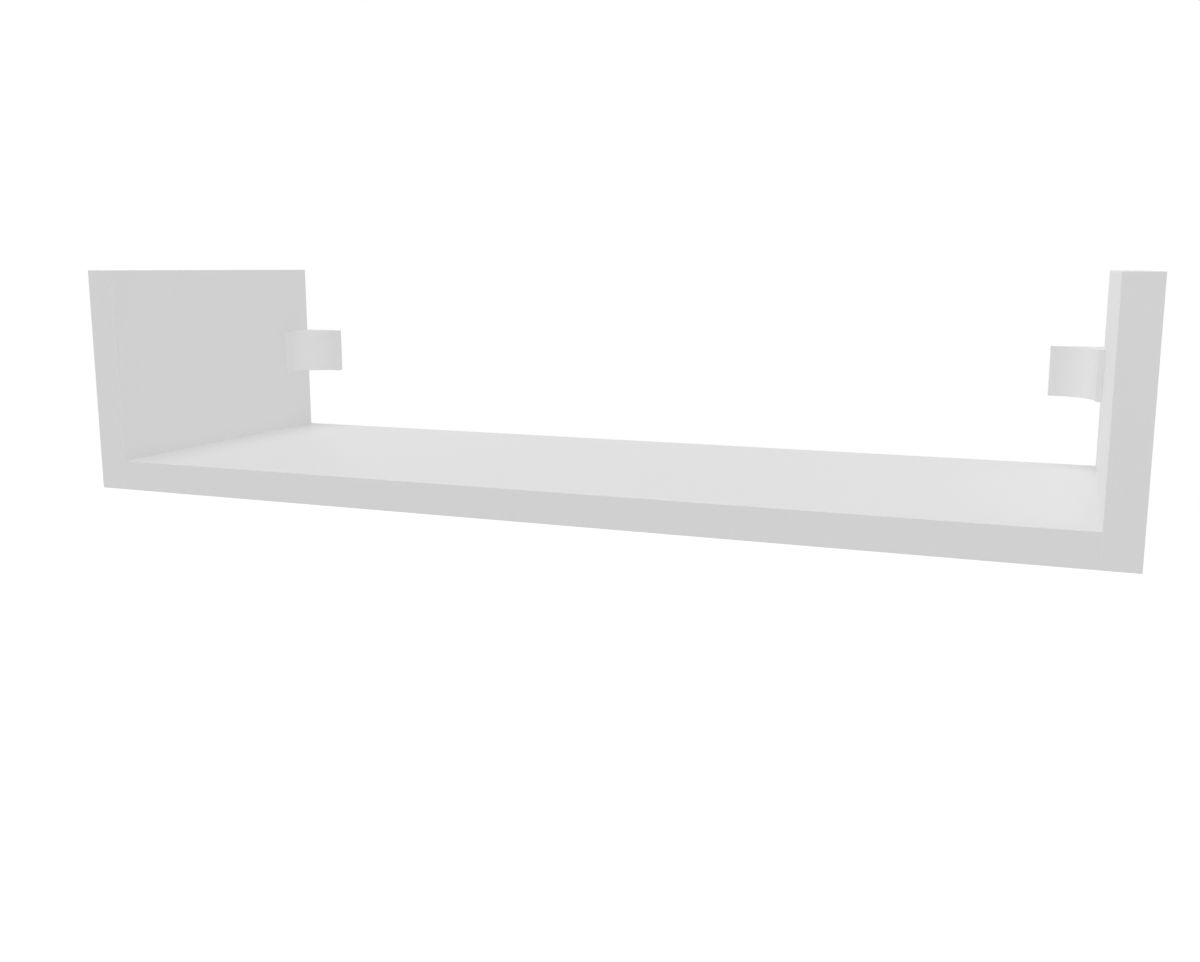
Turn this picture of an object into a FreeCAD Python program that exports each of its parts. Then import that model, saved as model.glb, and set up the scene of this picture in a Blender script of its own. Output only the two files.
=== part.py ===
"""Floating wall shelf: a U of three white boards that hangs on two covered corner brackets.

Millimetres. The origin lies on the wall, half way between the two wall screw holes.
+X runs to the right seen from the room, +Y points into the wall and +Z points up.
"""
import FreeCAD, Part
import Sketcher
import os
import re

SIZES = {
    # the U of boards
    "width": 600,               # outside to outside of the two sides
    "depth": 200,               # wall to front
    "height": 135,              # underside to the top of the sides
    "board": 18,                # thickness of every board
    "edging": 1,                # thickness of the edge bands
    "arris": 0.2,               # radius on the outer edges of the bands
    "bracket_level": 75,        # underside to the middle of the brackets
    # holes for the corner joints
    "joint_setback": 37,        # front or back of the shelf to the nearest cam bolt
    "dowel_pitch": 32,          # cam bolt to the dowel beside it
    "hole_skin": 6,             # board left behind a blind hole in a side
    "end_room": 0.5,            # air at the bottom of a blind hole
    "fit_room": 0.05,           # air all round a dowel, bolt or screw in its hole
    # dowels
    "dowel_diameter": 8,
    "dowel_length": 30,
    "dowel_chamfer": 0.8,
    "flute_radius": 0.45,
    # cam bolts
    "bolt_thread": 5,           # outer diameter of the thread in the side
    "bolt_thread_depth": 0.6,
    "bolt_pitch": 1.5,
    "bolt_collar": 7.6,         # flange that seats on the side
    "collar_thickness": 1,
    "collar_room": 0.2,         # air all round the collar in the hole along the bottom board
    "bolt_shank": 6.4,
    "bolt_neck": 4,
    "bolt_taper": 1.2,          # length of the cone from the shank to the neck
    "neck_room": 0.4,           # end of that cone to the cam
    "ball_lip": 1.2,            # how far the ball stands out all round the neck
    "ball_flat": 0.5,           # cap cut off the end of the ball
    # cam locks
    "cam_setback": 34,          # side's inner face to the cam's axis
    "cam_wall_locked": 2.9,     # wall that the ball hooks behind
    "cam_wall_open": 1.2,       # wall on the far side
    "ball_offset": 1.63,        # cam's axis to the middle of the ball
    "grip_room": 0.1,           # ball to the rim of the neck hole that it hooks behind
    "cam_room": 0.1,            # air all round the cam in its hole
    "cam_crown": 0.8,           # cam above the ball
    "cam_recess": 0.2,          # face of the cam below the surface of the board
    "cam_chamfer": 0.4,         # rim of the face
    "cam_top_room": 0.3,        # top of the cam to the bottom of its hole
    "cup_room": 0.4,            # ball to the floor of the cam's cup
    "slot_room": 0.25,          # air all round the neck in the cam's slot
    "entry_room": 0.25,         # air all round the ball in the cam's mouth
    "cross_taper": 8,           # lean of the walls of a screwdriver cross, in degrees
    "cam_cross_span": 7.2,
    "cam_cross_width": 1.7,
    "cam_cross_depth": 2.4,
    "cam_arrow": 1.8,           # width and length of the pointer pressed into the cam's face
    "cam_arrow_inset": 0.7,     # rim of the cam to the pointer's tip
    "cam_arrow_depth": 0.4,
    # angle brackets
    "bracket_leg": 26,
    "bracket_height": 26,
    "bracket_steel": 1.5,
    "bend_radius": 1.5,         # inside of the bend
    "bracket_corner": 3,        # rounding of the leg ends
    "bracket_edge": 0.2,        # rounding of the sheared edges
    "wall_hole": 5.5,
    "wall_hole_inset": 14,      # side's inner face to the wall screw
    # screws from the bracket into the side
    "screw_setback": 12,        # wall to the screws
    "screw_inset": 6,           # upper or lower edge of the bracket to the screw
    "screw_thread": 3.5,
    "screw_hole_room": 0.25,    # air all round a screw in the bracket
    "screw_thread_depth": 0.55,
    "screw_pitch": 1.6,
    "screw_plain": 0.6,         # plain shank under the head
    "screw_point": 3,
    "screw_skin": 4,            # board left behind the screw's hole
    "screw_head": 7,
    "screw_head_height": 2.2,
    "screw_head_rim": 0.7,      # straight part of the head below its round
    "screw_cross_span": 3.8,
    "screw_cross_width": 0.9,
    "screw_cross_depth": 1.4,
    # bracket covers
    "cover_wall": 1.2,
    "cover_lift": 1,            # air between the steel and the cover in front of it
    "cover_end_room": 2.8,      # end of a leg to the cover's end wall
    "cover_side_room": 0.8,     # upper and lower edge of the steel to the cover
    "cover_flat": 2.7,          # straight lip at each end of the hollow front
    "cover_seat": 0.1,          # air between the cover's rim and the wall or the side
    "cover_arris": 0.3,
    "rib_place": 18,            # corner to the middle of a gripping rib
    "rib_length": 6,
    "rib_room": 0.1,            # rib to the edge of the steel
}
DOWEL_FLUTES = 12

# Places and sizes that several pieces share, as expressions on the sheet
INNER_FACE = "(width / 2 - board)"
SIDE_MIDDLE = "(width / 2 - board / 2)"
FRONT_GLUE_LINE = "(edging - depth)"
BACK_GLUE_LINE = "(-edging)"
UNDERSIDE = "(-bracket_level)"
MID_BOARD = "(board / 2)"
BOLT_ROWS = {"front": "(joint_setback - depth)", "back": "(-joint_setback)"}
DOWEL_ROWS = {"front": "(joint_setback + dowel_pitch - depth)", "back": "(-joint_setback - dowel_pitch)"}
DOWEL_HOLE = "(dowel_diameter + 2 * fit_room)"
SIDE_HOLE_DEPTH = "(board - hole_skin)"
LENGTH_IN_SIDE = "(board - hole_skin - end_room)"
BOLT_BORE = "(bolt_collar + 2 * collar_room)"
BALL_RADIUS = "(bolt_neck / 2 + ball_lip)"
BALL_PLACE = "(cam_setback - ball_offset)"
NECK_HOLE = "(bolt_neck / 2 + slot_room)"
BALL_TO_RIM = f"(sqrt({BALL_RADIUS} ^ 2 - {NECK_HOLE} ^ 2) + grip_room)"
CUP_OFFSET = "((cam_wall_locked - cam_wall_open) / 2)"
CUP_RADIUS = f"sqrt((ball_offset + {CUP_OFFSET} + {BALL_TO_RIM}) ^ 2 + {NECK_HOLE} ^ 2)"
CAM_RADIUS = f"({CUP_RADIUS} + (cam_wall_locked + cam_wall_open) / 2)"
CAM_TOP = f"(board / 2 + {BALL_RADIUS} + cam_crown)"
SCREW_LEVELS = {"upper": "(bracket_height / 2 - screw_inset)", "lower": "(screw_inset - bracket_height / 2)"}
SCREW_HOLE_DEPTH = "(board - screw_skin)"
SCREW_REACH = "(board - screw_skin - end_room + bracket_steel)"
COVER_LEG = "(bracket_leg + cover_end_room + cover_wall)"
COVER_EDGE = "(bracket_steel + cover_lift + cover_wall)"
COVER_HEIGHT = "(bracket_height + 2 * cover_side_room + 2 * cover_wall)"

# How a sketch numbers its axes and the points of its lines
UPRIGHT_AXIS, ACROSS_AXIS = range(-2, 0)
START, END, CENTRE = range(1, 4)
UP = FreeCAD.Vector(0, 0, 1)
TOUCH = 1e-4

SIDES = {"left": -1, "right": 1}

doc = FreeCAD.newDocument("wall_shelf")
sheet = doc.addObject("Spreadsheet::Sheet", "Sizes")
for row, (name, size) in enumerate(SIZES.items(), start=1):
    sheet.set(f"A{row}", name)
    sheet.set(f"B{row}", str(size))
    sheet.setAlias(f"B{row}", name)
doc.recompute()
pieces = []


def bound(expression):
    """The expression with the sheet's name put before each size."""
    return re.sub(r"[a-z_]+", lambda word: f"Sizes.{word[0]}" if word[0] in SIZES else word[0], expression)


def value(expression):
    """What an expression comes to with the sizes as they stand."""
    return float(sheet.evalExpression(bound(expression)))


def new_piece(label):
    body = doc.addObject("PartDesign::Body", label)
    body.Label = label
    pieces.append(body)
    return body


def place(body, x, y, z, turn=FreeCAD.Rotation()):
    """Turn a piece and set its own origin at three expressions."""
    body.Placement = FreeCAD.Placement(FreeCAD.Vector(), turn)
    for axis, expression in zip("xyz", (x, y, z)):
        body.setExpression(f"Placement.Base.{axis}", bound(expression))


def turned(x_to, z_to):
    """The turn that lays a piece's own X and Z along two directions."""
    x_to = FreeCAD.Vector(*x_to)
    z_to = FreeCAD.Vector(*z_to)
    return FreeCAD.Rotation(x_to, z_to.cross(x_to), z_to, "XZY")


def origin_feature(body, role):
    return next(feature for feature in body.Origin.OriginFeatures if feature.Role == role)


def sketch_on(body, name, plane, level="0"):
    """An empty sketch parallel to one of the body's own planes, a level along that plane's normal."""
    sketch = body.newObject("Sketcher::SketchObject", name)
    sketch.AttachmentSupport = [(origin_feature(body, plane), "")]
    sketch.MapMode = "FlatFace"
    sketch.setExpression("AttachmentOffset.Base.z", bound(level))
    return sketch


def dimension(sketch, expression, kind, *points):
    number = sketch.addConstraint(Sketcher.Constraint(kind, *points, value(expression)))
    sketch.setExpression(f"Constraints[{number}]", bound(expression))


def pin(sketch, geometry, point, x, y):
    """Hold a point of the sketch at two expressions."""
    for kind, axis, expression in (("DistanceX", UPRIGHT_AXIS, x), ("DistanceY", ACROSS_AXIS, y)):
        if expression in ("0", "-0"):
            sketch.addConstraint(Sketcher.Constraint("PointOnObject", geometry, point, axis))
        else:
            dimension(sketch, expression, kind, ACROSS_AXIS, START, geometry, point)


def outline(sketch, corners, arcs=None):
    """A closed outline through the corners. Arcs gives (centre x, centre y, radius) for the round edges."""
    arcs = arcs or {}
    spots = [FreeCAD.Vector(value(x), value(y), 0) for x, y in corners]
    first = sketch.GeometryCount
    ends = []
    for edge, (spot, following) in enumerate(zip(spots, spots[1:] + spots[:1])):
        ends.append((START, END))
        if edge not in arcs:
            sketch.addGeometry(Part.LineSegment(spot, following), False)
            continue
        centre_x, centre_y, radius = arcs[edge]
        centre = FreeCAD.Vector(value(centre_x), value(centre_y), 0)
        circle = Part.Circle(centre, UP, value(radius))
        if (spot - centre).cross(following - centre).z < 0:
            ends[edge] = (END, START)
            spot, following = following, spot
        arc = Part.ArcOfCircle(circle, circle.parameter(spot), circle.parameter(following))
        sketch.addGeometry(arc, False)
    for edge, (x, y) in enumerate(corners):
        following = (edge + 1) % len(corners)
        joined = (first + edge, ends[edge][1], first + following, ends[following][0])
        sketch.addConstraint(Sketcher.Constraint("Coincident", *joined))
        pin(sketch, first + edge, ends[edge][0], x, y)
    for edge, (centre_x, centre_y, radius) in arcs.items():
        dimension(sketch, radius, "Radius", first + edge)


def rectangle(sketch, x_from, x_to, y_from, y_to):
    outline(sketch, [(x_from, y_from), (x_to, y_from), (x_to, y_to), (x_from, y_to)])


def circles(sketch, centres, diameter):
    for x, y in centres:
        centre = FreeCAD.Vector(value(x), value(y), 0)
        ring = sketch.addGeometry(Part.Circle(centre, UP, value(diameter) / 2), False)
        pin(sketch, ring, CENTRE, x, y)
        dimension(sketch, diameter, "Diameter", ring)


def pad(body, sketch, length, reverse=False):
    """Raise a sketch along its normal, or against it in reverse."""
    feature = body.newObject("PartDesign::Pad", sketch.Label + "_pad")
    feature.Profile = sketch
    feature.Reversed = reverse
    feature.setExpression("Length", bound(length))
    doc.recompute()
    return feature


def cut(body, sketch, depth, along_normal):
    """Cut a sketch into the body and make sure that material went."""
    before = body.Shape.Volume
    feature = body.newObject("PartDesign::Pocket", sketch.Label + "_cut")
    feature.Profile = sketch
    feature.Reversed = along_normal
    feature.setExpression("Length", bound(depth))
    doc.recompute()
    if not body.Shape.Volume < before:
        raise RuntimeError(f"{feature.Label} cuts nothing")
    return feature


def revolve(body, corners, arcs=None):
    """Turn a half section, given as (radius, height) corners, about the body's Z axis."""
    sketch = sketch_on(body, body.Label + "_section", "XZ_Plane")
    outline(sketch, corners, arcs)
    feature = body.newObject("PartDesign::Revolution", body.Label + "_turned")
    feature.Profile = sketch
    feature.ReferenceAxis = (sketch, ["V_Axis"])
    doc.recompute()
    return feature


def repeat(body, feature, originals):
    """Finish a mirror or pattern of earlier features."""
    before = body.Shape.Volume
    feature.Originals = originals
    body.Tip = feature
    doc.recompute()
    if body.Shape.Volume == before:
        raise RuntimeError(f"{feature.Label} repeats nothing")


def mirror(body, originals, plane):
    feature = body.newObject("PartDesign::Mirrored", body.Label + "_mirror")
    feature.MirrorPlane = (origin_feature(body, plane), [""])
    repeat(body, feature, originals)


def dress(body, kind, base, size_name, size, chosen):
    """Round or chamfer the edges of a feature that the test chooses."""
    names = [f"Edge{number}" for number, edge in enumerate(base.Shape.Edges, start=1) if chosen(edge)]
    feature = body.newObject(f"PartDesign::{kind}", f"{body.Label}_{kind.lower()}")
    feature.Base = (base, names)
    feature.setExpression(size_name, bound(size))
    doc.recompute()
    return feature


def lies_at(edge, axis, expression):
    """Whether the whole edge lies at one place along X, Y or Z."""
    place_wanted = value(expression)
    box = edge.BoundBox
    nearest = getattr(box, axis + "Min")
    furthest = getattr(box, axis + "Max")
    return max(abs(nearest - place_wanted), abs(furthest - place_wanted)) < TOUCH


def runs_along(edge, axis):
    return getattr(edge.BoundBox, axis + "Length") > TOUCH


def is_sharp(shape, edge):
    """Whether the two faces at the edge meet at an angle."""
    middle = edge.valueAt((edge.FirstParameter + edge.LastParameter) / 2)
    faces = shape.ancestorsOfType(edge, Part.Face)
    first, second = [face.normalAt(*face.Surface.parameter(middle)) for face in faces]
    return first.cross(second).Length > TOUCH


def core_radius(thread):
    """Radius at the bottom of a thread."""
    return f"({thread} / 2 - {thread}_depth)"


def ridges(thread, start, length, pitch):
    """Corners of the ridges of a thread, up a half section from its start."""
    count = int(value(length) / value(pitch))
    corners = []
    for turn in range(count):
        corners.append((core_radius(thread), f"{start} + {turn} * {pitch}"))
        corners.append((f"{thread} / 2", f"{start} + ({turn} + 0.5) * {pitch}"))
    return corners


def cross(body, level, span, width, depth, along_normal):
    """Sink a cross for a screwdriver into a face across the body's Z axis."""
    arm = f"{span} / 2"
    half = f"{width} / 2"
    sketch = sketch_on(body, body.Label + "_cross", "XY_Plane", level)
    quarter = [(arm, half), (half, half), (half, arm)]
    corners = list(quarter)
    corners += [(f"-{x}", y) for x, y in reversed(quarter)]
    corners += [(f"-{x}", f"-{y}") for x, y in quarter]
    corners += [(x, f"-{y}") for x, y in reversed(quarter)]
    outline(sketch, corners)
    recess = cut(body, sketch, depth, along_normal)
    recess.setExpression("TaperAngle", bound("-cross_taper"))
    doc.recompute()


def bottom_board():
    """Chipboard between the sides, drilled in both ends and from below."""
    body = new_piece("bottom_board")
    sheet_outline = sketch_on(body, "bottom_outline", "XY_Plane")
    rectangle(sheet_outline, f"-{INNER_FACE}", INNER_FACE, FRONT_GLUE_LINE, BACK_GLUE_LINE)
    pad(body, sheet_outline, "board")
    bores = sketch_on(body, "bottom_bolt_bores", "YZ_Plane", INNER_FACE)
    circles(bores, [(row, MID_BOARD) for row in BOLT_ROWS.values()], BOLT_BORE)
    bores_cut = cut(body, bores, "cam_setback", along_normal=False)
    dowels = sketch_on(body, "bottom_dowel_holes", "YZ_Plane", INNER_FACE)
    circles(dowels, [(row, MID_BOARD) for row in DOWEL_ROWS.values()], DOWEL_HOLE)
    dowels_cut = cut(body, dowels, f"dowel_length - {LENGTH_IN_SIDE} + end_room", along_normal=False)
    cams = sketch_on(body, "bottom_cam_holes", "XY_Plane")
    cam_row = f"{INNER_FACE} - cam_setback"
    circles(cams, [(cam_row, row) for row in BOLT_ROWS.values()], f"2 * ({CAM_RADIUS} + cam_room)")
    cams_cut = cut(body, cams, f"{CAM_TOP} + cam_top_room", along_normal=True)
    mirror(body, [bores_cut, dowels_cut, cams_cut], "YZ_Plane")
    place(body, "0", "0", UNDERSIDE)


def side_board(side):
    """Chipboard upright, with blind holes in its inner face for bolts, dowels and bracket screws."""
    outwards = SIDES[side]
    body = new_piece(f"{side}_side_board")
    face = sketch_on(body, f"{side}_face", "YZ_Plane")
    rectangle(face, FRONT_GLUE_LINE, BACK_GLUE_LINE, "edging", "height - edging")
    pad(body, face, "board", reverse=outwards < 0)
    drillings = {
        "bolt": (BOLT_ROWS.values(), [MID_BOARD], "bolt_thread + 2 * fit_room", SIDE_HOLE_DEPTH),
        "dowel": (DOWEL_ROWS.values(), [MID_BOARD], DOWEL_HOLE, SIDE_HOLE_DEPTH),
        "screw": (["-screw_setback"], [f"bracket_level + {level}" for level in SCREW_LEVELS.values()],
                  "screw_thread + 2 * fit_room", SCREW_HOLE_DEPTH),
    }
    for use, (rows, levels, diameter, depth) in drillings.items():
        holes = sketch_on(body, f"{side}_{use}_holes", "YZ_Plane")
        circles(holes, [(row, level) for row in rows for level in levels], diameter)
        cut(body, holes, depth, along_normal=outwards > 0)
    place(body, f"{outwards} * {INNER_FACE}", "0", UNDERSIDE)


def edge_band(label, x, y, z, outwards, along, length, free_ends):
    """Strip on the edge of a board: its X points out of the board and its Z runs along the edge."""
    body = new_piece(label)
    section = sketch_on(body, label + "_section", "XY_Plane")
    rectangle(section, "0", "edging", "-board / 2", "board / 2")
    strip = pad(body, section, length)

    def is_outer(edge):
        return lies_at(edge, "X", "edging") and (free_ends or runs_along(edge, "Z"))

    dress(body, "Fillet", strip, "Radius", "arris", is_outer)
    place(body, x, y, z, turned(outwards, along))


def edge_bands():
    """Bands on every edge that shows. On a side, those at front and back lap the ends of the other two."""
    rims = {"front": (FRONT_GLUE_LINE, (0, -1, 0)), "back": (BACK_GLUE_LINE, (0, 1, 0))}
    for rim, (y, outwards) in rims.items():
        edge_band(f"bottom_{rim}_edging", f"-{INNER_FACE}", y, f"{UNDERSIDE} + {MID_BOARD}", outwards,
                  (1, 0, 0), f"2 * {INNER_FACE}", free_ends=False)
        for side, sign in SIDES.items():
            middle = f"{sign} * {SIDE_MIDDLE}"
            edge_band(f"{side}_{rim}_edging", middle, y, UNDERSIDE, outwards, (0, 0, 1),
                      "height", free_ends=True)
    top = f"{UNDERSIDE} + height - edging"
    foot = f"{UNDERSIDE} + edging"
    for end, (z, outwards) in {"top": (top, (0, 0, 1)), "foot": (foot, (0, 0, -1))}.items():
        for side, sign in SIDES.items():
            middle = f"{sign} * {SIDE_MIDDLE}"
            edge_band(f"{side}_{end}_edging", middle, FRONT_GLUE_LINE, z, outwards, (0, 1, 0),
                      "depth - 2 * edging", free_ends=False)


def dowel(side, row):
    """Fluted beech dowel, part in the side and the rest in the bottom board."""
    inwards = -SIDES[side]
    body = new_piece(f"{side}_{row}_dowel")
    end = sketch_on(body, body.Label + "_end", "XY_Plane")
    circles(end, [("0", "0")], "dowel_diameter")
    rod = pad(body, end, "dowel_length")
    dress(body, "Chamfer", rod, "Size", "dowel_chamfer", lambda edge: not runs_along(edge, "Z"))
    flute = sketch_on(body, body.Label + "_flute", "XY_Plane")
    circles(flute, [("dowel_diameter / 2", "0")], "2 * flute_radius")
    flute_cut = cut(body, flute, "dowel_length", along_normal=True)
    flutes = body.newObject("PartDesign::PolarPattern", body.Label + "_flutes")
    flutes.Axis = (origin_feature(body, "Z_Axis"), [""])
    flutes.Occurrences = DOWEL_FLUTES
    repeat(body, flutes, [flute_cut])
    outer_end = f"{-inwards} * ({INNER_FACE} + {LENGTH_IN_SIDE})"
    place(body, outer_end, DOWEL_ROWS[row], f"{UNDERSIDE} + {MID_BOARD}",
          turned((0, 1, 0), (inwards, 0, 0)))


def cam_bolt(side, row):
    """Steel bolt screwed into the side, with a ball on a thin neck that the cam hooks behind."""
    inwards = -SIDES[side]
    body = new_piece(f"{side}_{row}_cam_bolt")
    start = f"(-{LENGTH_IN_SIDE})"
    neck_start = f"(cam_setback - {CAM_RADIUS} - neck_room)"
    shank_end = f"({neck_start} - bolt_taper)"
    ball_start = f"({BALL_PLACE} - sqrt({BALL_RADIUS} ^ 2 - (bolt_neck / 2) ^ 2))"
    ball_end = f"({BALL_RADIUS} - ball_flat)"
    corners = [("0", start)]
    corners += ridges("bolt_thread", start, LENGTH_IN_SIDE, "bolt_pitch")
    corners += [
        (core_radius("bolt_thread"), "0"), ("bolt_collar / 2", "0"), ("bolt_collar / 2", "collar_thickness"),
        ("bolt_shank / 2", "collar_thickness"), ("bolt_shank / 2", shank_end),
        ("bolt_neck / 2", neck_start), ("bolt_neck / 2", ball_start),
        (f"sqrt({BALL_RADIUS} ^ 2 - {ball_end} ^ 2)", f"{BALL_PLACE} + {ball_end}"),
        ("0", f"{BALL_PLACE} + {ball_end}"),
    ]
    ball_edge = corners.index(("bolt_neck / 2", ball_start))
    revolve(body, corners, {ball_edge: ("0", BALL_PLACE, BALL_RADIUS)})
    face = f"{-inwards} * {INNER_FACE}"
    place(body, face, BOLT_ROWS[row], f"{UNDERSIDE} + {MID_BOARD}", turned((0, 1, 0), (inwards, 0, 0)))


def cam_lock(side, row):
    """Die-cast cup in the underside. Turned home, its thick wall hooks behind the ball of the bolt.

    Its own X points at the bolt. The slot for the neck runs half way round, to the mouth for the ball.
    """
    outwards = SIDES[side]
    body = new_piece(f"{side}_{row}_cam")
    disc = sketch_on(body, body.Label + "_disc", "XY_Plane", "cam_recess")
    circles(disc, [("0", "0")], f"2 * {CAM_RADIUS}")
    drum = pad(body, disc, f"{CAM_TOP} - cam_recess")
    dress(body, "Chamfer", drum, "Size", "cam_chamfer", lambda edge: lies_at(edge, "Z", "cam_recess"))
    floor = f"({MID_BOARD} - {BALL_RADIUS} - cup_room)"
    cup = sketch_on(body, body.Label + "_cup", "XY_Plane", floor)
    circles(cup, [(f"-{CUP_OFFSET}", "0")], f"2 * {CUP_RADIUS}")
    cut(body, cup, f"{CAM_TOP} - {floor}", along_normal=True)
    neck = sketch_on(body, body.Label + "_neck", "YZ_Plane")
    circles(neck, [("0", MID_BOARD)], f"2 * {NECK_HOLE}")
    cut(body, neck, CAM_RADIUS, along_normal=True)
    slot = sketch_on(body, body.Label + "_slot", "XY_Plane", f"{MID_BOARD} - {NECK_HOLE}")
    rectangle(slot, f"-{CAM_RADIUS}", CAM_RADIUS, "0", CAM_RADIUS)
    cut(body, slot, f"2 * {NECK_HOLE}", along_normal=True)
    mouth = sketch_on(body, body.Label + "_mouth", "YZ_Plane")
    half_mouth = f"({BALL_RADIUS} + entry_room)"
    round_bottom = ("0", MID_BOARD, half_mouth)
    outline(mouth, [(f"-{half_mouth}", CAM_TOP), (f"-{half_mouth}", MID_BOARD),
                    ("0", f"{MID_BOARD} - {half_mouth}"), (half_mouth, MID_BOARD), (half_mouth, CAM_TOP)],
            {1: round_bottom, 2: round_bottom})
    cut(body, mouth, CAM_RADIUS, along_normal=False)
    cross(body, "cam_recess", "cam_cross_span", "cam_cross_width", "cam_cross_depth", along_normal=True)
    arrow = sketch_on(body, body.Label + "_arrow", "XY_Plane", "cam_recess")
    tip = f"(cam_arrow_inset - {CAM_RADIUS})"
    outline(arrow, [(tip, "0"), (f"{tip} + cam_arrow", "-cam_arrow / 2"),
                    (f"{tip} + cam_arrow", "cam_arrow / 2")])
    cut(body, arrow, "cam_arrow_depth", along_normal=True)
    place(body, f"{outwards} * ({INNER_FACE} - cam_setback)", BOLT_ROWS[row], UNDERSIDE,
          turned((outwards, 0, 0), (0, 0, 1)))


def corner_turn(side):
    """Bracket and cover are drawn for the left corner, and the right corner takes them upside down."""
    return turned((-SIDES[side], 0, 0), (0, 0, -SIDES[side]))


def angle_bracket(side):
    """Steel strip bent to an angle: one leg on the wall, the other on the side's inner face."""
    body = new_piece(f"{side}_bracket")
    bend = "(bend_radius + bracket_steel)"
    profile = sketch_on(body, body.Label + "_profile", "XY_Plane", "-bracket_height / 2")
    outline(profile, [("bracket_leg", "0"), (bend, "0"), ("0", f"-{bend}"), ("0", "-bracket_leg"),
                      ("bracket_steel", "-bracket_leg"), ("bracket_steel", f"-{bend}"),
                      (bend, "-bracket_steel"), ("bracket_leg", "-bracket_steel")],
            {1: (bend, f"-{bend}", bend), 5: (bend, f"-{bend}", "bend_radius")})
    strip = pad(body, profile, "bracket_height")

    def is_leg_corner(edge):
        on_wall_leg = lies_at(edge, "X", "bracket_leg") and runs_along(edge, "Y")
        on_side_leg = lies_at(edge, "Y", "-bracket_leg") and runs_along(edge, "X")
        return on_wall_leg or on_side_leg

    rounded = dress(body, "Fillet", strip, "Radius", "bracket_corner", is_leg_corner)
    dress(body, "Fillet", rounded, "Radius", "bracket_edge", lambda edge: is_sharp(rounded.Shape, edge))
    wall_hole = sketch_on(body, body.Label + "_wall_hole", "XZ_Plane")
    circles(wall_hole, [("wall_hole_inset", "0")], "wall_hole")
    cut(body, wall_hole, "bracket_steel", along_normal=True)
    screw_holes = sketch_on(body, body.Label + "_screw_holes", "YZ_Plane")
    circles(screw_holes, [("-screw_setback", level) for level in SCREW_LEVELS.values()],
            "screw_thread + 2 * screw_hole_room")
    cut(body, screw_holes, "bracket_steel", along_normal=True)
    place(body, f"{SIDES[side]} * {INNER_FACE}", "0", "0", corner_turn(side))


def bracket_screw(side, level):
    """Pan head chipboard screw through the bracket into the side."""
    outwards = SIDES[side]
    body = new_piece(f"{side}_{level}_bracket_screw")
    head_round = "(screw_head_height - screw_head_rim)"
    head_flat = f"(screw_head / 2 - {head_round})"
    thread_end = f"({SCREW_REACH} - screw_point)"
    core = core_radius("screw_thread")
    corners = [("0", "-screw_head_height"), (head_flat, "-screw_head_height"),
               ("screw_head / 2", "-screw_head_rim"), ("screw_head / 2", "0"), (core, "0")]
    corners += ridges("screw_thread", "screw_plain", f"{thread_end} - screw_plain", "screw_pitch")
    corners += [(core, thread_end), ("0", SCREW_REACH)]
    revolve(body, corners, {1: (head_flat, "-screw_head_rim", head_round)})
    cross(body, "-screw_head_height", "screw_cross_span", "screw_cross_width", "screw_cross_depth",
          along_normal=True)
    place(body, f"{outwards} * ({INNER_FACE} - bracket_steel)", "-screw_setback", SCREW_LEVELS[level],
          turned((0, 1, 0), (outwards, 0, 0)))


def cover_profile(leg, edge, flat, rim):
    """Corners and arcs of a triangle with a hollow long side, its legs on the wall and the side."""
    middle = f"({leg} - {flat})"
    corners = [(rim, f"-{rim}"), (leg, f"-{rim}"), (leg, f"-{edge}"), (middle, f"-{edge}"),
               (edge, f"-{middle}"), (edge, f"-{leg}"), (rim, f"-{leg}")]
    return corners, {3: (middle, f"-{middle}", f"({middle} - {edge})")}


def bracket_cover(side):
    """Moulded shell pushed over the bracket, open to the wall and the side, with ribs that grip the steel."""
    body = new_piece(f"{side}_bracket_cover")
    block = sketch_on(body, body.Label + "_block", "XY_Plane", f"-{COVER_HEIGHT} / 2")
    outline(block, *cover_profile(COVER_LEG, COVER_EDGE, "cover_flat", "cover_seat"))
    shell = pad(body, block, COVER_HEIGHT)

    def shows(edge):
        on_rim = lies_at(edge, "X", "cover_seat") or lies_at(edge, "Y", "-cover_seat")
        on_cap = lies_at(edge, "Z", f"-{COVER_HEIGHT} / 2") or lies_at(edge, "Z", f"{COVER_HEIGHT} / 2")
        on_wall_lip = lies_at(edge, "X", COVER_LEG) and lies_at(edge, "Y", f"-{COVER_EDGE}")
        on_side_lip = lies_at(edge, "X", COVER_EDGE) and lies_at(edge, "Y", f"-{COVER_LEG}")
        return (on_cap and not on_rim) or on_wall_lip or on_side_lip

    dress(body, "Fillet", shell, "Radius", "cover_arris", shows)
    cavity = sketch_on(body, body.Label + "_cavity", "XY_Plane", f"cover_wall - {COVER_HEIGHT} / 2")
    inner_leg = f"({COVER_LEG} - cover_wall)"
    inner_edge = f"({COVER_EDGE} - cover_wall)"
    outline(cavity, *cover_profile(inner_leg, inner_edge, "(cover_flat - cover_wall)", "0"))
    cut(body, cavity, f"{COVER_HEIGHT} - 2 * cover_wall", along_normal=True)
    ribs = sketch_on(body, body.Label + "_ribs", "XY_Plane", "bracket_height / 2 + rib_room")
    rib_ends = ("rib_place - rib_length / 2", "rib_place + rib_length / 2")
    rectangle(ribs, *rib_ends, "-bracket_steel", "-cover_seat")
    rectangle(ribs, "cover_seat", "bracket_steel", *[f"-({end})" for end in rib_ends])
    ribs_pad = pad(body, ribs, "cover_side_room - rib_room")
    mirror(body, [ribs_pad], "XY_Plane")
    place(body, f"{SIDES[side]} * {INNER_FACE}", "0", "0", corner_turn(side))


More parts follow.
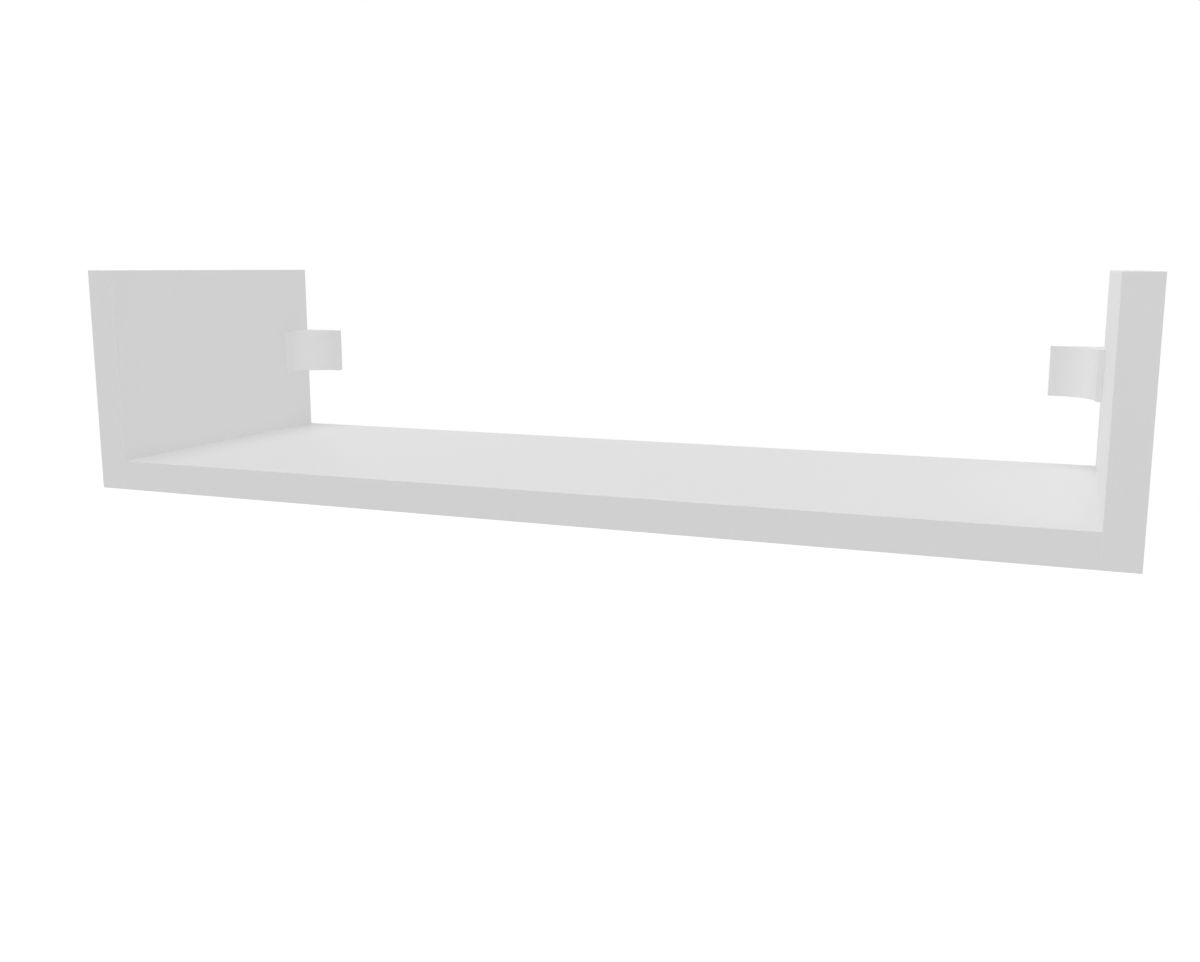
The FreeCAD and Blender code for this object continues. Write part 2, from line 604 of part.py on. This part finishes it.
bottom_board()
for side in SIDES:
    side_board(side)
edge_bands()
for side in SIDES:
    for row in BOLT_ROWS:
        dowel(side, row)
        cam_bolt(side, row)
        cam_lock(side, row)
    angle_bracket(side)
    for level in SCREW_LEVELS:
        bracket_screw(side, level)
    bracket_cover(side)
doc.recompute()

failed = [thing.Label for thing in doc.Objects if {"Invalid", "Error"} & set(thing.State)]
for body in pieces:
    if body.Shape.isNull() or not body.Shape.isValid() or len(body.Shape.Solids) != 1:
        failed.append(body.Label)
if failed:
    raise RuntimeError(f"pieces that did not come out whole: {failed}")

os.makedirs("parts", exist_ok=True)
for body in pieces:
    body.Shape.exportStep(f"parts/{body.Label}.step")
print(f"{len(pieces)} pieces")
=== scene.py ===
"""Floating wall shelf: the finishes of its pieces, its threaded fasteners, a plain studio and a camera.

Lengths are in metres, and in millimetres where a name ends in MM.
"""
import math
import bpy
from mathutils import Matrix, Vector


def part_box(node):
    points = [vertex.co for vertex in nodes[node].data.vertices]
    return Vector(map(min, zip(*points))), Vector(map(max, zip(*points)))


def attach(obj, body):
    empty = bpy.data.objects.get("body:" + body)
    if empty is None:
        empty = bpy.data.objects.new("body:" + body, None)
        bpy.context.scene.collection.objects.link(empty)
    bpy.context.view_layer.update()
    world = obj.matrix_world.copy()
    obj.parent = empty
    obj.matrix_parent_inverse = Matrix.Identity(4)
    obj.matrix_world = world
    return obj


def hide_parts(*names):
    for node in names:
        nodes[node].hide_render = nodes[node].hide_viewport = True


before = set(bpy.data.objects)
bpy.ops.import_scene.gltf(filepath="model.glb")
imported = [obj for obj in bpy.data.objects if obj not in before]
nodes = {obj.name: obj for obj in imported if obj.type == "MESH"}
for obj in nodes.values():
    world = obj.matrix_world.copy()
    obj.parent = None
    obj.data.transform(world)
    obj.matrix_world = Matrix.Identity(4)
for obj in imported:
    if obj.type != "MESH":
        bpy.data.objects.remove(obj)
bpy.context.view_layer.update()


# Bottom board: chipboard with white melamine paper pressed hot on both faces, which leaves a fine
# pearl texture. It lies between the sides, with holes for bolts and dowels drilled in its sawn
# ends and holes for the cams in its underside. A film of glue for the bands is on its long edges.

WHITE = (0.80, 0.80, 0.803, 1)
WHITE_IN_CLOUDS = (0.795, 0.795, 0.799, 1)
CLOUD_SIZE = 0.08
PEARL_SIZE = 0.0006
PEARL_RISE_MM = 0.10
SATIN = 0.50
SATIN_SPREAD = 0.12
PALE_CHIP = (0.62, 0.48, 0.32, 1)
DARK_CHIP = (0.40, 0.27, 0.15, 1)
CHIPS_TO_A_METRE = 400
CHIP_CONTRAST = 0.6
SPLINTER_SIZE = 0.0006
SPLINTER_RISE_MM = 0.25
BARE_WOOD = 0.92
MELAMINE_FILM = 0.0002
GLUE = (0.72, 0.715, 0.70, 1)
GLUE_FILM = 0.0002
MILLIMETRE = 0.001
BUMP_STRENGTH = 1
GRAIN_DETAIL = 2
SPLINTER_DETAIL = 4
MIX_SHARE = 0
MIX_FIRST = 6
MIX_SECOND = 7
MIX_COLOUR = 2


class Socket:
    """One output among the nodes of a finish. Arithmetic on it adds Math nodes."""

    def __init__(self, tree, output):
        self.tree = tree
        self.output = output

    def node(self, kind, settings, inputs, output=0):
        """Add any other node: its settings first, then the values or links of its sockets."""
        added = self.tree.nodes.new(kind)
        for name, setting in settings.items():
            setattr(added, name, setting)
        for name, given in inputs.items():
            if isinstance(given, Socket):
                self.tree.links.new(given.output, added.inputs[name])
            else:
                added.inputs[name].default_value = given
        return Socket(self.tree, added.outputs[output])

    def feed(self, shader, name):
        """Link this output to a socket of a shader."""
        self.tree.links.new(self.output, shader.inputs[name])

    def maths(self, operation, first, second):
        """Add a Math node for one step of arithmetic."""
        return self.node("ShaderNodeMath", {"operation": operation}, {0: first, 1: second})

    def __add__(self, other):
        return self.maths("ADD", self, other)

    def __sub__(self, other):
        return self.maths("SUBTRACT", self, other)

    def __rsub__(self, other):
        return self.maths("SUBTRACT", other, self)

    def __mul__(self, other):
        return self.maths("MULTIPLY", self, other)

    def __lt__(self, other):
        return self.maths("LESS_THAN", self, other)

    def __abs__(self):
        return self.maths("ABSOLUTE", self, 0)

    __radd__ = __add__
    __rmul__ = __mul__


def start_finish(name):
    """A new material, the place on the piece in metres, and the shader that the finish feeds."""
    finish = bpy.data.materials.new(name)
    finish.use_nodes = True
    tree = finish.node_tree
    place = Socket(tree, tree.nodes.new("ShaderNodeTexCoord").outputs["Object"])
    return finish, place, tree.nodes["Principled BSDF"]


def along(place, axis):
    """The place along X, Y or Z alone."""
    return place.node("ShaderNodeSeparateXYZ", {}, {"Vector": place}, axis)


def grain(place, size, detail=GRAIN_DETAIL, stretch=(1, 1, 1)):
    """Soft grain whose marks are about one size across, or drawn out by the stretch along X, Y and Z."""
    drawn_out = place.node("ShaderNodeVectorMath", {"operation": "DIVIDE"}, {0: place, 1: stretch})
    return place.node("ShaderNodeTexNoise", {}, {"Vector": drawn_out, "Scale": 1 / size, "Detail": detail})


def mixed(share, first, second):
    """A colour between two others, through the colour sockets of a Mix node."""
    sockets = {MIX_SHARE: share, MIX_FIRST: first, MIX_SECOND: second}
    return share.node("ShaderNodeMix", {"data_type": "RGBA"}, sockets, MIX_COLOUR)


def raise_surface(height, shader):
    """Bump the surface by a height in millimetres."""
    sockets = {"Strength": BUMP_STRENGTH, "Distance": MILLIMETRE, "Height": height}
    height.node("ShaderNodeBump", {}, sockets).feed(shader, "Normal")


def middle_and_half(node_name, axis):
    """The middle of a piece along an axis, and half its length there."""
    low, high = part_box(node_name)
    return [getattr(corner, axis.lower()) / 2 for corner in (low + high, high - low)]


def under_skin(place, node_name, axis, skin):
    """1 where a board lies deeper than a skin on its two faces across an axis, and 0 in the skin."""
    middle, half = middle_and_half(node_name, axis)
    across = along(place, axis)
    if axis == "X":
        # The left side mirrors the right one, so both count from the middle of the shelf.
        across, middle = abs(across), abs(middle)
    return abs(across - middle) < half - skin


def faced_chipboard(name, node_name, axis, banded):
    """Melamine on the two faces across an axis, glue on the edges across the banded axes, and bare chips
    wherever else the board is sawn or drilled."""
    finish, place, shader = start_finish(name)
    core = under_skin(place, node_name, axis, MELAMINE_FILM)
    pearl = grain(place, PEARL_SIZE)
    clouds = grain(place, CLOUD_SIZE)
    chips = place.node("ShaderNodeTexVoronoi", {}, {"Vector": place, "Scale": CHIPS_TO_A_METRE}, "Color")
    chip = chips.node("ShaderNodeSeparateColor", {}, {"Color": chips})
    splinters = grain(place, SPLINTER_SIZE, SPLINTER_DETAIL)
    wood = CHIP_CONTRAST * chip + (1 - CHIP_CONTRAST) * splinters
    core_colour = mixed(wood, DARK_CHIP, PALE_CHIP)
    for edge_axis in banded:
        core_colour = mixed(under_skin(place, node_name, edge_axis, GLUE_FILM), GLUE, core_colour)
    mixed(core, mixed(clouds, WHITE, WHITE_IN_CLOUDS), core_colour).feed(shader, "Base Color")
    satin = SATIN + SATIN_SPREAD * pearl
    (satin + core * (BARE_WOOD - satin)).feed(shader, "Roughness")
    pearl_rise = PEARL_RISE_MM * pearl
    raise_surface(pearl_rise + core * (SPLINTER_RISE_MM * splinters - pearl_rise), shader)
    return finish


def coat(node_name, finish):
    """Give a piece of the frame its finish."""
    nodes[node_name].material_slots[0].material = finish


coat("bottom_board", faced_chipboard("white_melamine_bottom", "bottom_board", "Z", banded="Y"))


# Side boards: the same faced chipboard, standing at both ends of the bottom board. Blind holes in
# their inner faces take the bolts, dowels and bracket screws.

SIDES = {"left": -1, "right": 1}

side_finish = faced_chipboard("white_melamine_sides", "left_side_board", "X", banded="YZ")
for side in SIDES:
    coat(f"{side}_side_board", side_finish)


# Edge bands: strips of white ABS, 1 mm thick, glued hot to every edge that shows and trimmed flush.
# The scraper leaves fine marks along them and breaks their corners, and a hairline of glue shows
# where band and board meet.

GLUE_HAIRLINE = 0.00006
BAND_GLOSS = 0.44
BAND_GLOSS_SPREAD = 0.10
BAND_PEARL_RISE_MM = 0.06
SCRAPER_MARK = 0.0005
SCRAPER_RUN = 40
SCRAPER_RISE_MM = 0.035


def edge_band(name, node_name, run, across):
    """White ABS with scraper marks along its run, and glue where it meets the board that the node is."""
    middle, to_glue = middle_and_half(node_name, across)
    finish, place, shader = start_finish(name)
    stretch = [SCRAPER_RUN if axis == run else 1 for axis in "XYZ"]
    marks = grain(place, SCRAPER_MARK, stretch=stretch)
    pearl = grain(place, PEARL_SIZE)
    clouds = grain(place, CLOUD_SIZE)
    glue = abs(abs(along(place, across) - middle) - to_glue) < GLUE_HAIRLINE
    mixed(glue, mixed(clouds, WHITE, WHITE_IN_CLOUDS), GLUE).feed(shader, "Base Color")
    (BAND_GLOSS + BAND_GLOSS_SPREAD * pearl).feed(shader, "Roughness")
    raise_surface(BAND_PEARL_RISE_MM * pearl + SCRAPER_RISE_MM * marks, shader)
    return finish


bottom_band = edge_band("white_edging_bottom", "bottom_board", "X", "Y")
upright_band = edge_band("white_edging_upright", "left_side_board", "Z", "Y")
level_band = edge_band("white_edging_level", "left_side_board", "Y", "Z")
ROWS = ("front", "back")
for row in ROWS:
    coat(f"bottom_{row}_edging", bottom_band)
for side in SIDES:
    for row in ROWS:
        coat(f"{side}_{row}_edging", upright_band)
    for end in ("top", "foot"):
        coat(f"{side}_{end}_edging", level_band)


# Dowels: fluted beech pegs, 8 mm thick, glued into the corners beside the bolts. They keep the boards
# in line. The grain runs along them, with the short dark flecks of beech.

PALE_BEECH = (0.64, 0.46, 0.29, 1)
DARK_BEECH = (0.50, 0.33, 0.19, 1)
BEECH_FLECK = (0.34, 0.20, 0.11, 1)
FIBRE_SIZE = 0.0004
FIBRE_DETAIL = 3
FIBRE_RUN = (25, 1, 1)
FIBRE_SHARE = 0.5
FIBRE_RISE_MM = 0.03
RING_SIZE = 0.002
RING_RUN = (15, 1, 1)
FLECK_SIZE = 0.00025
FLECK_DETAIL = 0
FLECK_RUN = (5, 1, 1)
FLECK_FROM = 0.62
FLECK_TO = 0.70
TURNED_WOOD = 0.62
TURNED_WOOD_SPREAD = 0.2
CORNERS = [f"{side}_{row}" for side in SIDES for row in ROWS]

beech, place, shader = start_finish("turned_beech")
fibres = grain(place, FIBRE_SIZE, FIBRE_DETAIL, FIBRE_RUN)
rings = grain(place, RING_SIZE, stretch=RING_RUN)
flecks = grain(place, FLECK_SIZE, FLECK_DETAIL, FLECK_RUN)
fleck_share = place.node(
    "ShaderNodeMapRange", {}, {"Value": flecks, "From Min": FLECK_FROM, "From Max": FLECK_TO})
wood_colour = mixed(FIBRE_SHARE * fibres + (1 - FIBRE_SHARE) * rings, PALE_BEECH, DARK_BEECH)
mixed(fleck_share, wood_colour, BEECH_FLECK).feed(shader, "Base Color")
(TURNED_WOOD + TURNED_WOOD_SPREAD * fibres).feed(shader, "Roughness")
raise_surface(FIBRE_RISE_MM * fibres, shader)
for corner in CORNERS:
    coat(f"{corner}_dowel", beech)


# Cam bolts: steel turned on a lathe, with a coarse thread that holds in the side board, and plated with
# bright zinc. The ball at the other end reaches into a cam and has a cross for the screwdriver.

COOL_ZINC = (0.64, 0.66, 0.69, 1)
WARM_ZINC = (0.70, 0.69, 0.65, 1)
TINT_SIZE = 0.006
CRYSTAL_SIZE = 0.0004
TOOL_MARK = 0.00025
TOOL_MARK_DETAIL = 3
ZINC_GLOSS = 0.22
CRYSTAL_SPREAD = 0.14
TOOL_MARK_SPREAD = 0.10
ZINC_RISE_MM = 0.003
LATHE_RUN = (1, 6, 6)
ROUND_STEPS = 48
QUARTER_TURN = math.pi / 2
SHARP_ANGLE = math.radians(35)
TOUCH = 1e-6
THREAD_FOOT = 0.8
THREAD_CREST = 0.12
THREAD_SUNK = 0.0002
THREAD_END_CORNERS = 4
RUN_OUT = QUARTER_TURN
CROSS_LEAN = 0.7
BOLT_REACH = 0.0115
BOLT_POINT = 0.0006
BOLT_CORE = 0.0019
BOLT_THREAD = 0.0025
BOLT_THREAD_START = 0.0015
BOLT_PITCH = 0.0015
BOLT_TURNS = 6
COLLAR = 0.0038
COLLAR_THICKNESS = 0.001
COLLAR_EDGE = 0.0002
SHANK = 0.0032
SHANK_LENGTH = 0.025
NECK = 0.002
NECK_START = 0.0262
BALL = 0.0032
BALL_PLACE = 0.03237
BALL_FLAT = 0.0005
BALL_STEPS = 12
BOLT_CROSS = {"span": 0.003, "width": 0.0007, "depth": 0.0014}


def zinc_plating(name, stretch):
    """Bright zinc on steel, with a faint tint in patches and the marks of rolling or turning."""
    finish, place, shader = start_finish(name)
    tint = grain(place, TINT_SIZE)
    marks = grain(place, TOOL_MARK, TOOL_MARK_DETAIL, stretch)
    crystals = grain(place, CRYSTAL_SIZE)
    mixed(tint, COOL_ZINC, WARM_ZINC).feed(shader, "Base Color")
    (ZINC_GLOSS + CRYSTAL_SPREAD * crystals + TOOL_MARK_SPREAD * marks).feed(shader, "Roughness")
    shader.inputs["Metallic"].default_value = 1
    raise_surface(ZINC_RISE_MM * (crystals + marks), shader)
    return finish


def pick(piece, chosen):
    """Start to shape a piece by the corners that pass a test on their place."""
    bpy.ops.object.mode_set(mode="EDIT")
    bpy.ops.mesh.select_mode(type="VERT")
    bpy.ops.mesh.select_all(action="DESELECT")
    bpy.ops.object.mode_set(mode="OBJECT")
    for corner in piece.data.vertices:
        corner.select = chosen(corner.co)
    bpy.ops.object.mode_set(mode="EDIT")


def turn_steel(rings):
    """A solid of revolution, drawn out along Z from ring to ring, each a radius and a level."""
    (radius, level), *following = rings
    bpy.ops.object.select_all(action="DESELECT")
    bpy.ops.mesh.primitive_circle_add(
        vertices=ROUND_STEPS, radius=radius, fill_type="NGON", location=(0, 0, level))
    bpy.ops.object.transform_apply()
    bpy.ops.object.mode_set(mode="EDIT")
    for next_radius, next_level in following:
        bpy.ops.mesh.extrude_region_move(TRANSFORM_OT_translate={"value": (0, 0, next_level - level)})
        share = next_radius / radius
        bpy.ops.transform.resize(value=(share, share, 1), center_override=(0, 0, next_level))
        radius, level = next_radius, next_level
    bpy.ops.mesh.select_all(action="SELECT")
    bpy.ops.mesh.normals_make_consistent(inside=False)
    bpy.ops.object.mode_set(mode="OBJECT")
    return bpy.context.object


def sink_cross(piece, level, span, width, depth):
    """Punch a cross for the screwdriver into the low end, its arms narrower at their floor."""
    for turn in (0, QUARTER_TURN):
        bpy.ops.object.select_all(action="DESELECT")
        bpy.ops.mesh.primitive_cube_add(size=1, location=(0, 0, level), rotation=(0, 0, turn))
        arm = bpy.context.object
        arm.scale = (span, width, 2 * depth)
        bpy.ops.object.transform_apply()
        pick(arm, lambda place: place.z > level)
        bpy.ops.transform.resize(value=(CROSS_LEAN, CROSS_LEAN, 1), center_override=(0, 0, level))
        bpy.ops.object.mode_set(mode="OBJECT")
        punch = piece.modifiers.new("punch", "BOOLEAN")
        punch.operation = "DIFFERENCE"
        punch.object = arm
        bpy.context.view_layer.objects.active = piece
        bpy.ops.object.modifier_apply(modifier=punch.name)
        bpy.ops.object.delete()


def roll_thread(shank, core, crest, start, pitch, turns):
    """Wind a ridge up a helix round a shank, run its two ends out into the core and join it on."""
    foot = core - THREAD_SUNK
    bpy.ops.object.select_all(action="DESELECT")
    bpy.ops.mesh.primitive_plane_add(
        size=1, location=((foot + crest) / 2, 0, start), rotation=(QUARTER_TURN, 0, 0))
    ridge = bpy.context.object
    ridge.scale = (crest - foot, THREAD_FOOT * pitch, 1)
    bpy.ops.object.transform_apply()
    pick(ridge, lambda place: place.x > core)
    bpy.ops.transform.resize(value=(1, 1, THREAD_CREST / THREAD_FOOT), center_override=(0, 0, start))
    bpy.ops.mesh.select_all(action="SELECT")
    bpy.ops.mesh.delete(type="ONLY_FACE")
    bpy.ops.object.mode_set(mode="OBJECT")
    winding = ridge.modifiers.new("winding", "SCREW")
    winding.screw_offset = pitch
    winding.iterations = turns
    winding.steps = ROUND_STEPS
    winding.render_steps = ROUND_STEPS
    bpy.ops.object.modifier_apply(modifier=winding.name)
    bpy.ops.object.mode_set(mode="EDIT")
    bpy.ops.mesh.select_all(action="SELECT")
    bpy.ops.mesh.fill_holes(sides=THREAD_END_CORNERS)
    bpy.ops.mesh.select_all(action="SELECT")
    bpy.ops.mesh.normals_make_consistent(inside=False)
    first_end = start + pitch / 2
    last_end = start + turns * pitch - pitch / 2
    pick(ridge, lambda place: place.x > core and abs(place.y) < TOUCH
         and not first_end < place.z < last_end)
    share = foot / crest
    bpy.ops.transform.resize(
        value=(share, share, 1), center_override=(0, 0, start), use_proportional_edit=True,
        use_proportional_connected=True, proportional_edit_falloff="SMOOTH",
        proportional_size=RUN_OUT * crest)
    bpy.ops.object.mode_set(mode="OBJECT")
    shank.select_set(True)
    bpy.context.view_layer.objects.active = shank
    bpy.ops.object.join()


def drive_in(model, piece_name, node_name, reach, outwards):
    """Set a copy of a fastener, driven its reach into a side board, where its node is in the frame."""
    low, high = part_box(node_name)
    seat = (low + high) / 2
    tip = max(outwards * low.x, outwards * high.x)
    seat.x = outwards * (tip - reach)
    bpy.ops.object.select_all(action="DESELECT")
    model.select_set(True)
    bpy.context.view_layer.objects.active = model
    bpy.ops.object.duplicate()
    piece = bpy.context.object
    piece.name = piece_name
    piece.location = seat
    piece.rotation_euler.y = outwards * QUARTER_TURN
    bpy.ops.object.transform_apply()
    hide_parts(node_name)
    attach(piece, "carcass")


bolt_rings = []
ball_from = -math.asin(1 - BALL_FLAT / BALL)
ball_to = math.acos(NECK / BALL)
for step in range(BALL_STEPS + 1):
    rise = ball_from + (ball_to - ball_from) * step / BALL_STEPS
    bolt_rings.append((BALL * math.cos(rise), BALL * math.sin(rise) - BALL_PLACE))
bolt_rings += [
    (NECK, -NECK_START), (SHANK, -SHANK_LENGTH), (SHANK, -COLLAR_THICKNESS),
    (COLLAR - COLLAR_EDGE, -COLLAR_THICKNESS), (COLLAR, COLLAR_EDGE - COLLAR_THICKNESS),
    (COLLAR, -COLLAR_EDGE), (COLLAR - COLLAR_EDGE, 0),
    (BOLT_CORE, 0), (BOLT_CORE, BOLT_REACH - BOLT_POINT), (BOLT_CORE - BOLT_POINT, BOLT_REACH),
]
turned_steel = zinc_plating("zinc_on_turned_steel", LATHE_RUN)
bolt = turn_steel(bolt_rings)
sink_cross(bolt, BALL_FLAT - BALL - BALL_PLACE, **BOLT_CROSS)
roll_thread(bolt, BOLT_CORE, BOLT_THREAD, BOLT_THREAD_START, BOLT_PITCH, BOLT_TURNS)
bpy.ops.object.shade_smooth_by_angle(angle=SHARP_ANGLE)
bolt.data.materials.append(turned_steel)
for side, outwards in SIDES.items():
    for row in ROWS:
        drive_in(bolt, f"{side}_{row}_threaded_bolt", f"{side}_{row}_cam_bolt", BOLT_REACH, outwards)
bpy.data.objects.remove(bolt)


# Cam locks: drums of die-cast zinc, tumbled to a dull grey, sunk into the underside. A half turn with
# a screwdriver hooks them behind the balls of the bolts and draws the corner tight.

BRIGHT_CASTING = (0.58, 0.59, 0.61, 1)
DULL_CASTING = (0.42, 0.43, 0.45, 1)
CASTING_DETAIL = 3
FLOW_SIZE = 0.003
PIT_SIZE = 0.0005
PIT_RISE_MM = 0.05
CASTING = 0.36
FLOW_SPREAD = 0.16
PIT_SPREAD = 0.12

die_cast_zinc, place, shader = start_finish("tumbled_die_cast_zinc")
flow = grain(place, FLOW_SIZE, CASTING_DETAIL)
pits = grain(place, PIT_SIZE, CASTING_DETAIL)
mixed(flow, BRIGHT_CASTING, DULL_CASTING).feed(shader, "Base Color")
(CASTING + FLOW_SPREAD * flow + PIT_SPREAD * pits).feed(shader, "Roughness")
shader.inputs["Metallic"].default_value = 1
raise_surface(PIT_RISE_MM * pits, shader)
for corner in CORNERS:
    coat(f"{corner}_cam", die_cast_zinc)


# Angle brackets: steel strip, 1.5 mm thick, punched, bent to a right angle and zinc plated. One leg
# lies on the wall and the other on the side board. The marks of rolling run along the strip.

ROLLING_RUN = (30, 30, 1)

rolled_steel = zinc_plating("zinc_on_rolled_steel", ROLLING_RUN)
for side in SIDES:
    coat(f"{side}_bracket", rolled_steel)


# Bracket screws: pan head chipboard screws of the same plated steel, with a cross in the head and a
# thread that runs out on the point. Two hold each bracket to its side board.

SCREW_REACH = 0.015
SCREW_POINT = 0.003
POINT_STEPS = 6
POINT_SHARE = 0.05
SCREW_CORE = 0.0012
SCREW_THREAD = 0.00175
SCREW_THREAD_START = 0.0015
SCREW_PITCH = 0.0016
SCREW_TURNS = 8
HEAD = 0.0035
HEAD_HEIGHT = 0.0022
HEAD_RIM = 0.0007
HEAD_EDGE = 0.0001
HEAD_STEPS = 8
SCREW_CROSS = {"span": 0.0038, "width": 0.0009, "depth": 0.0014}

head_round = HEAD_HEIGHT - HEAD_RIM
screw_rings = []
for step in range(HEAD_STEPS + 1):
    lean = QUARTER_TURN * step / HEAD_STEPS
    radius = HEAD - head_round * (1 - math.sin(lean))
    screw_rings.append((radius, -HEAD_RIM - head_round * math.cos(lean)))
screw_rings += [(HEAD, -HEAD_EDGE), (HEAD - HEAD_EDGE, 0), (SCREW_CORE, 0)]
for step in range(POINT_STEPS + 1):
    screw_rings.append((SCREW_CORE, SCREW_REACH - SCREW_POINT * (1 - step / POINT_STEPS)))
screw = turn_steel(screw_rings)
sink_cross(screw, -HEAD_HEIGHT, **SCREW_CROSS)
roll_thread(screw, SCREW_CORE, SCREW_THREAD, SCREW_THREAD_START, SCREW_PITCH, SCREW_TURNS)
pick(screw, lambda place: place.z > SCREW_REACH - TOUCH)
bpy.ops.transform.resize(
    value=(POINT_SHARE, POINT_SHARE, 1), center_override=(0, 0, SCREW_REACH),
    use_proportional_edit=True, proportional_edit_falloff="LINEAR", proportional_size=SCREW_POINT)
bpy.ops.object.mode_set(mode="OBJECT")
bpy.ops.object.shade_smooth_by_angle(angle=SHARP_ANGLE)
screw.data.materials.append(turned_steel)
for side, outwards in SIDES.items():
    for level in ("upper", "lower"):
        drive_in(screw, f"{side}_{level}_chipboard_screw", f"{side}_{level}_bracket_screw",
                 SCREW_REACH, outwards)
bpy.data.objects.remove(screw)


# Bracket covers: white plastic shells, moulded with a fine spark-eroded texture and a hollow front.
# They are pushed over the brackets, where small ribs grip the steel.

COVER_WHITE = (0.81, 0.81, 0.813, 1)
COVER_WHITE_IN_FLOW = (0.805, 0.805, 0.809, 1)
COVER_FLOW_SIZE = 0.02
SPARK_PIT = 0.0003
SPARK_PIT_DETAIL = 1
SPARK_RISE_MM = 0.05
COVER_GLOSS = 0.50
COVER_GLOSS_SPREAD = 0.14

moulded_white, place, shader = start_finish("moulded_white_plastic")
spark_pits = grain(place, SPARK_PIT, SPARK_PIT_DETAIL)
flow = grain(place, COVER_FLOW_SIZE)
mixed(flow, COVER_WHITE, COVER_WHITE_IN_FLOW).feed(shader, "Base Color")
(COVER_GLOSS + COVER_GLOSS_SPREAD * spark_pits).feed(shader, "Roughness")
raise_surface(SPARK_RISE_MM * spark_pits, shader)
for side in SIDES:
    coat(f"{side}_bracket_cover", moulded_white)


# Floor: pale and matt, well below the shelf, which hangs at chest height. To the camera it glows just
# enough to pass into the white background, and it still takes the shelf's shadow.

FLOOR_LEVEL = -1.275
FLOOR_SIZE = 12
FLOOR_PALE = (0.80, 0.80, 0.80, 1)
FLOOR_WORN = (0.77, 0.77, 0.77, 1)
FLOOR_PATCH = 0.3
FLOOR_MATT = 0.9
FLOOR_GLOW = 0.34

bpy.ops.object.select_all(action="DESELECT")
bpy.ops.mesh.primitive_plane_add(size=FLOOR_SIZE, location=(0, 0, FLOOR_LEVEL))
floor = bpy.context.object
floor.name = "floor"
floor_finish, place, shader = start_finish("pale_floor")
mixed(grain(place, FLOOR_PATCH), FLOOR_PALE, FLOOR_WORN).feed(shader, "Base Color")
shader.inputs["Roughness"].default_value = FLOOR_MATT
to_camera = place.node("ShaderNodeLightPath", {}, {}, "Is Camera Ray")
glow = place.node("ShaderNodeEmission", {}, {"Strength": FLOOR_GLOW * to_camera})
lit = Socket(place.tree, shader.outputs["BSDF"])
both = place.node("ShaderNodeAddShader", {}, {0: lit, 1: glow})
both.feed(place.tree.nodes["Material Output"], "Surface")
floor.data.materials.append(floor_finish)


# Studio light: an even pale surround, a soft lamp overhead, and weaker fills from left, right and
# front that cast no shadow. What the camera or a reflection sees of the surround is white.

SURROUND = 0.64
BACKGROUND_WHITE = (1, 1, 1, 1)
BACKGROUND_STRENGTH = 1
LAMPS = {
    "overhead_lamp": {"from": (-0.09, 0, 1), "strength": 0.66, "spread": 25, "shadow": True},
    "left_fill": {"from": (-1, 0, 0.3), "strength": 0.72, "spread": 30, "shadow": False},
    "right_fill": {"from": (1, 0, 0.3), "strength": 0.52, "spread": 30, "shadow": False},
    "front_fill": {"from": (0, -1, 0.3), "strength": 0.50, "spread": 30, "shadow": False},
}

world = bpy.data.worlds.new("studio")
bpy.context.scene.world = world
world.use_nodes = True
tree = world.node_tree
path = tree.nodes.new("ShaderNodeLightPath")
seen = sum(Socket(tree, path.outputs[f"Is {kind} Ray"]) for kind in ("Camera", "Glossy", "Transmission"))
surround = seen.node("ShaderNodeBackground", {}, {"Strength": SURROUND})
white = seen.node(
    "ShaderNodeBackground", {}, {"Color": BACKGROUND_WHITE, "Strength": BACKGROUND_STRENGTH})
surround.node("ShaderNodeMixShader", {}, {0: seen, 1: surround, 2: white}).feed(
    tree.nodes["World Output"], "Surface")

for name, lamp in LAMPS.items():
    bpy.ops.object.light_add(type="SUN", location=lamp["from"])
    light = bpy.context.object
    light.name = name
    light.rotation_euler = Vector(lamp["from"]).to_track_quat("Z", "Y").to_euler()
    light.data.energy = lamp["strength"]
    light.data.angle = math.radians(lamp["spread"])
    light.data.use_shadow = lamp["shadow"]


# Camera: a little above the sides and to the right, as in the photograph, with the lens that its
# perspective shows.

CAMERA_PLACE = (0.26262, -0.78064, 0.06161)
CAMERA_PITCH = math.radians(-10.08)
CAMERA_TURN = math.radians(21.29)
SENSOR_WIDTH = 36
FOCAL_LENGTH = 36
NEAREST_SEEN = 0.01

bpy.ops.object.camera_add(location=CAMERA_PLACE, rotation=(QUARTER_TURN + CAMERA_PITCH, 0, CAMERA_TURN))
camera = bpy.context.object
camera.data.sensor_fit = "HORIZONTAL"
camera.data.sensor_width = SENSOR_WIDTH
camera.data.lens = FOCAL_LENGTH
camera.data.clip_start = NEAREST_SEEN
bpy.context.scene.camera = camera
bpy.context.scene.view_settings.view_transform = "Standard"
